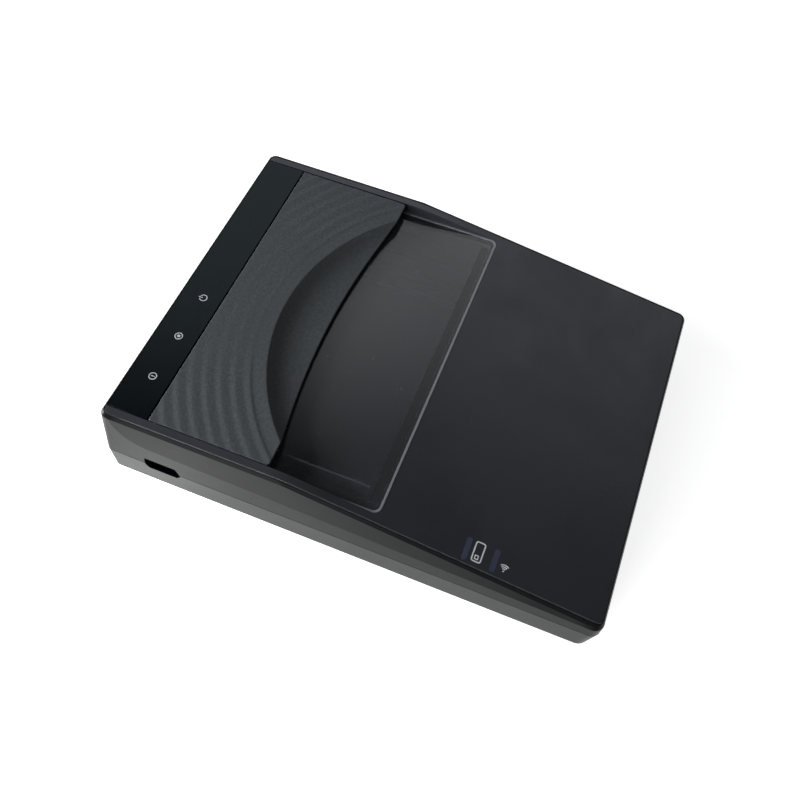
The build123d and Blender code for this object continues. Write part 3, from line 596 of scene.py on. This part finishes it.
def painted_light_pool(x0, y0, sx, sy, amount):
    """Soft glowing patch of the table, round (x0, y0): a painted pool of light on the floor."""
    a = math_node(fnt, "DIVIDE", math_node(fnt, "SUBTRACT", fx_.outputs[0], x0), sx)
    c = math_node(fnt, "DIVIDE", math_node(fnt, "SUBTRACT", fx_.outputs[1], y0), sy)
    q = math_node(fnt, "ADD", math_node(fnt, "MULTIPLY", a, a), math_node(fnt, "MULTIPLY", c, c))
    return math_node(fnt, "MULTIPLY", math_node(fnt, "EXPONENT", math_node(fnt, "MULTIPLY", q, -1.0)), amount)


# painted pools of light: the table glows brighter beside the back-left of the case
glow = math_node(fnt, "ADD", painted_light_pool(-0.088, 0.08, 0.03, 0.035, 1.42), painted_light_pool(-0.088, 0.03, 0.03, 0.035, 0.38))
fnt.links.new(math_node(fnt, "ADD", glow, 0.80), fb.inputs["Emission Strength"])
floor.data.materials.append(fm)


def area(name, loc, target, size, size_y, power, col=(1, 1, 1)):
    d = bpy.data.lights.new(name, "AREA")
    d.shape = "RECTANGLE"
    d.size, d.size_y = size, size_y
    d.energy = power
    d.color = col
    o = bpy.data.objects.new(name, d)
    o.location = loc
    o.rotation_mode = "QUATERNION"
    o.rotation_quaternion = (Vector(target) - Vector(loc)).to_track_quat("-Z", "Y")
    scene.collection.objects.link(o)
    return o


area("key_back", (-0.154, 0.873, 0.156), (0, 0, 0.02), 0.40, 0.40, 22.0)
area("key_left", (-0.861, 0.231, 0.125), (0, 0, 0.02), 0.40, 0.40, 9.8)

# studio dome: nearly dark, with four large soft screens that fade out at their edges
world = bpy.data.worlds.new("studio")
world.use_nodes = True
wnt = world.node_tree
wtc = wnt.nodes.new("ShaderNodeTexCoord")


def along(v):
    n = wnt.nodes.new("ShaderNodeVectorMath")
    n.operation = "DOT_PRODUCT"
    wnt.links.new(wtc.outputs["Generated"], n.inputs[0])
    n.inputs[1].default_value = v
    return n.outputs["Value"]


def screen(az, el, wide, high, strength):
    a, e = math.radians(az), math.radians(el)
    d0 = Vector((math.cos(a) * math.cos(e), math.sin(a) * math.cos(e), math.sin(e)))
    ta = Vector((-math.sin(a), math.cos(a), 0))
    da = math_node(wnt, "DIVIDE", along(ta), wide)
    de = math_node(wnt, "DIVIDE", along(d0.cross(ta)), high)
    r2 = math_node(wnt, "ADD", math_node(wnt, "MULTIPLY", da, da), math_node(wnt, "MULTIPLY", de, de))
    mr = wnt.nodes.new("ShaderNodeMapRange")
    mr.interpolation_type = "SMOOTHSTEP"
    mr.inputs["From Min"].default_value, mr.inputs["From Max"].default_value = 0.3, 1.0
    mr.inputs["To Min"].default_value, mr.inputs["To Max"].default_value = strength, 0.0
    wnt.links.new(math_node(wnt, "SQRT", r2), mr.inputs["Value"])
    return math_node(wnt, "MULTIPLY", mr.outputs["Result"], math_node(wnt, "GREATER_THAN", along(d0), 0.0))


dome = math_node(wnt, "ADD", screen(165, 18, 0.50, 0.25, 1.44), screen(-15, 42, 0.45, 0.25, 1.07))
dome = math_node(wnt, "ADD", dome, screen(25, 45, 0.55, 0.30, 0.90))
dome = math_node(wnt, "ADD", dome, screen(165, 47, 0.40, 0.22, 0.20))
# where no floor is in view, a low view sees a plain pale backdrop instead of the dome
seen = wnt.nodes.new("ShaderNodeLightPath").outputs["Is Camera Ray"]
dome = math_node(wnt, "MULTIPLY", math_node(wnt, "ADD", dome, 0.04), math_node(wnt, "SUBTRACT", 1.0, seen))
wnt.links.new(math_node(wnt, "ADD", dome, math_node(wnt, "MULTIPLY", seen, 0.90)), wnt.nodes["Background"].inputs["Strength"])
wnt.nodes["Background"].inputs["Color"].default_value = (0.97, 0.985, 1.0, 1)
scene.world = world
scene.view_settings.view_transform = "Standard"

cam_d = bpy.data.cameras.new("camera")
cam_d.sensor_width = 36.0
cam_d.lens = 41.904
cam_d.shift_x = 0.0336
cam_d.shift_y = -0.0233
cam_d.clip_start, cam_d.clip_end = 0.01, 20.0
cam = bpy.data.objects.new("camera", cam_d)
R_, U_, F_ = Vector((0.36867, -0.92835, 0.04737)), Vector((0.76466, 0.33185, 0.55242)), Vector((0.52856, 0.16744, -0.83222))
rot = Matrix(((R_.x, U_.x, -F_.x), (R_.y, U_.y, -F_.y), (R_.z, U_.z, -F_.z)))
cam.matrix_world = Matrix.Translation((-0.19753, -0.04635, 0.31556)) @ rot.to_4x4()
scene.collection.objects.link(cam)
scene.camera = cam
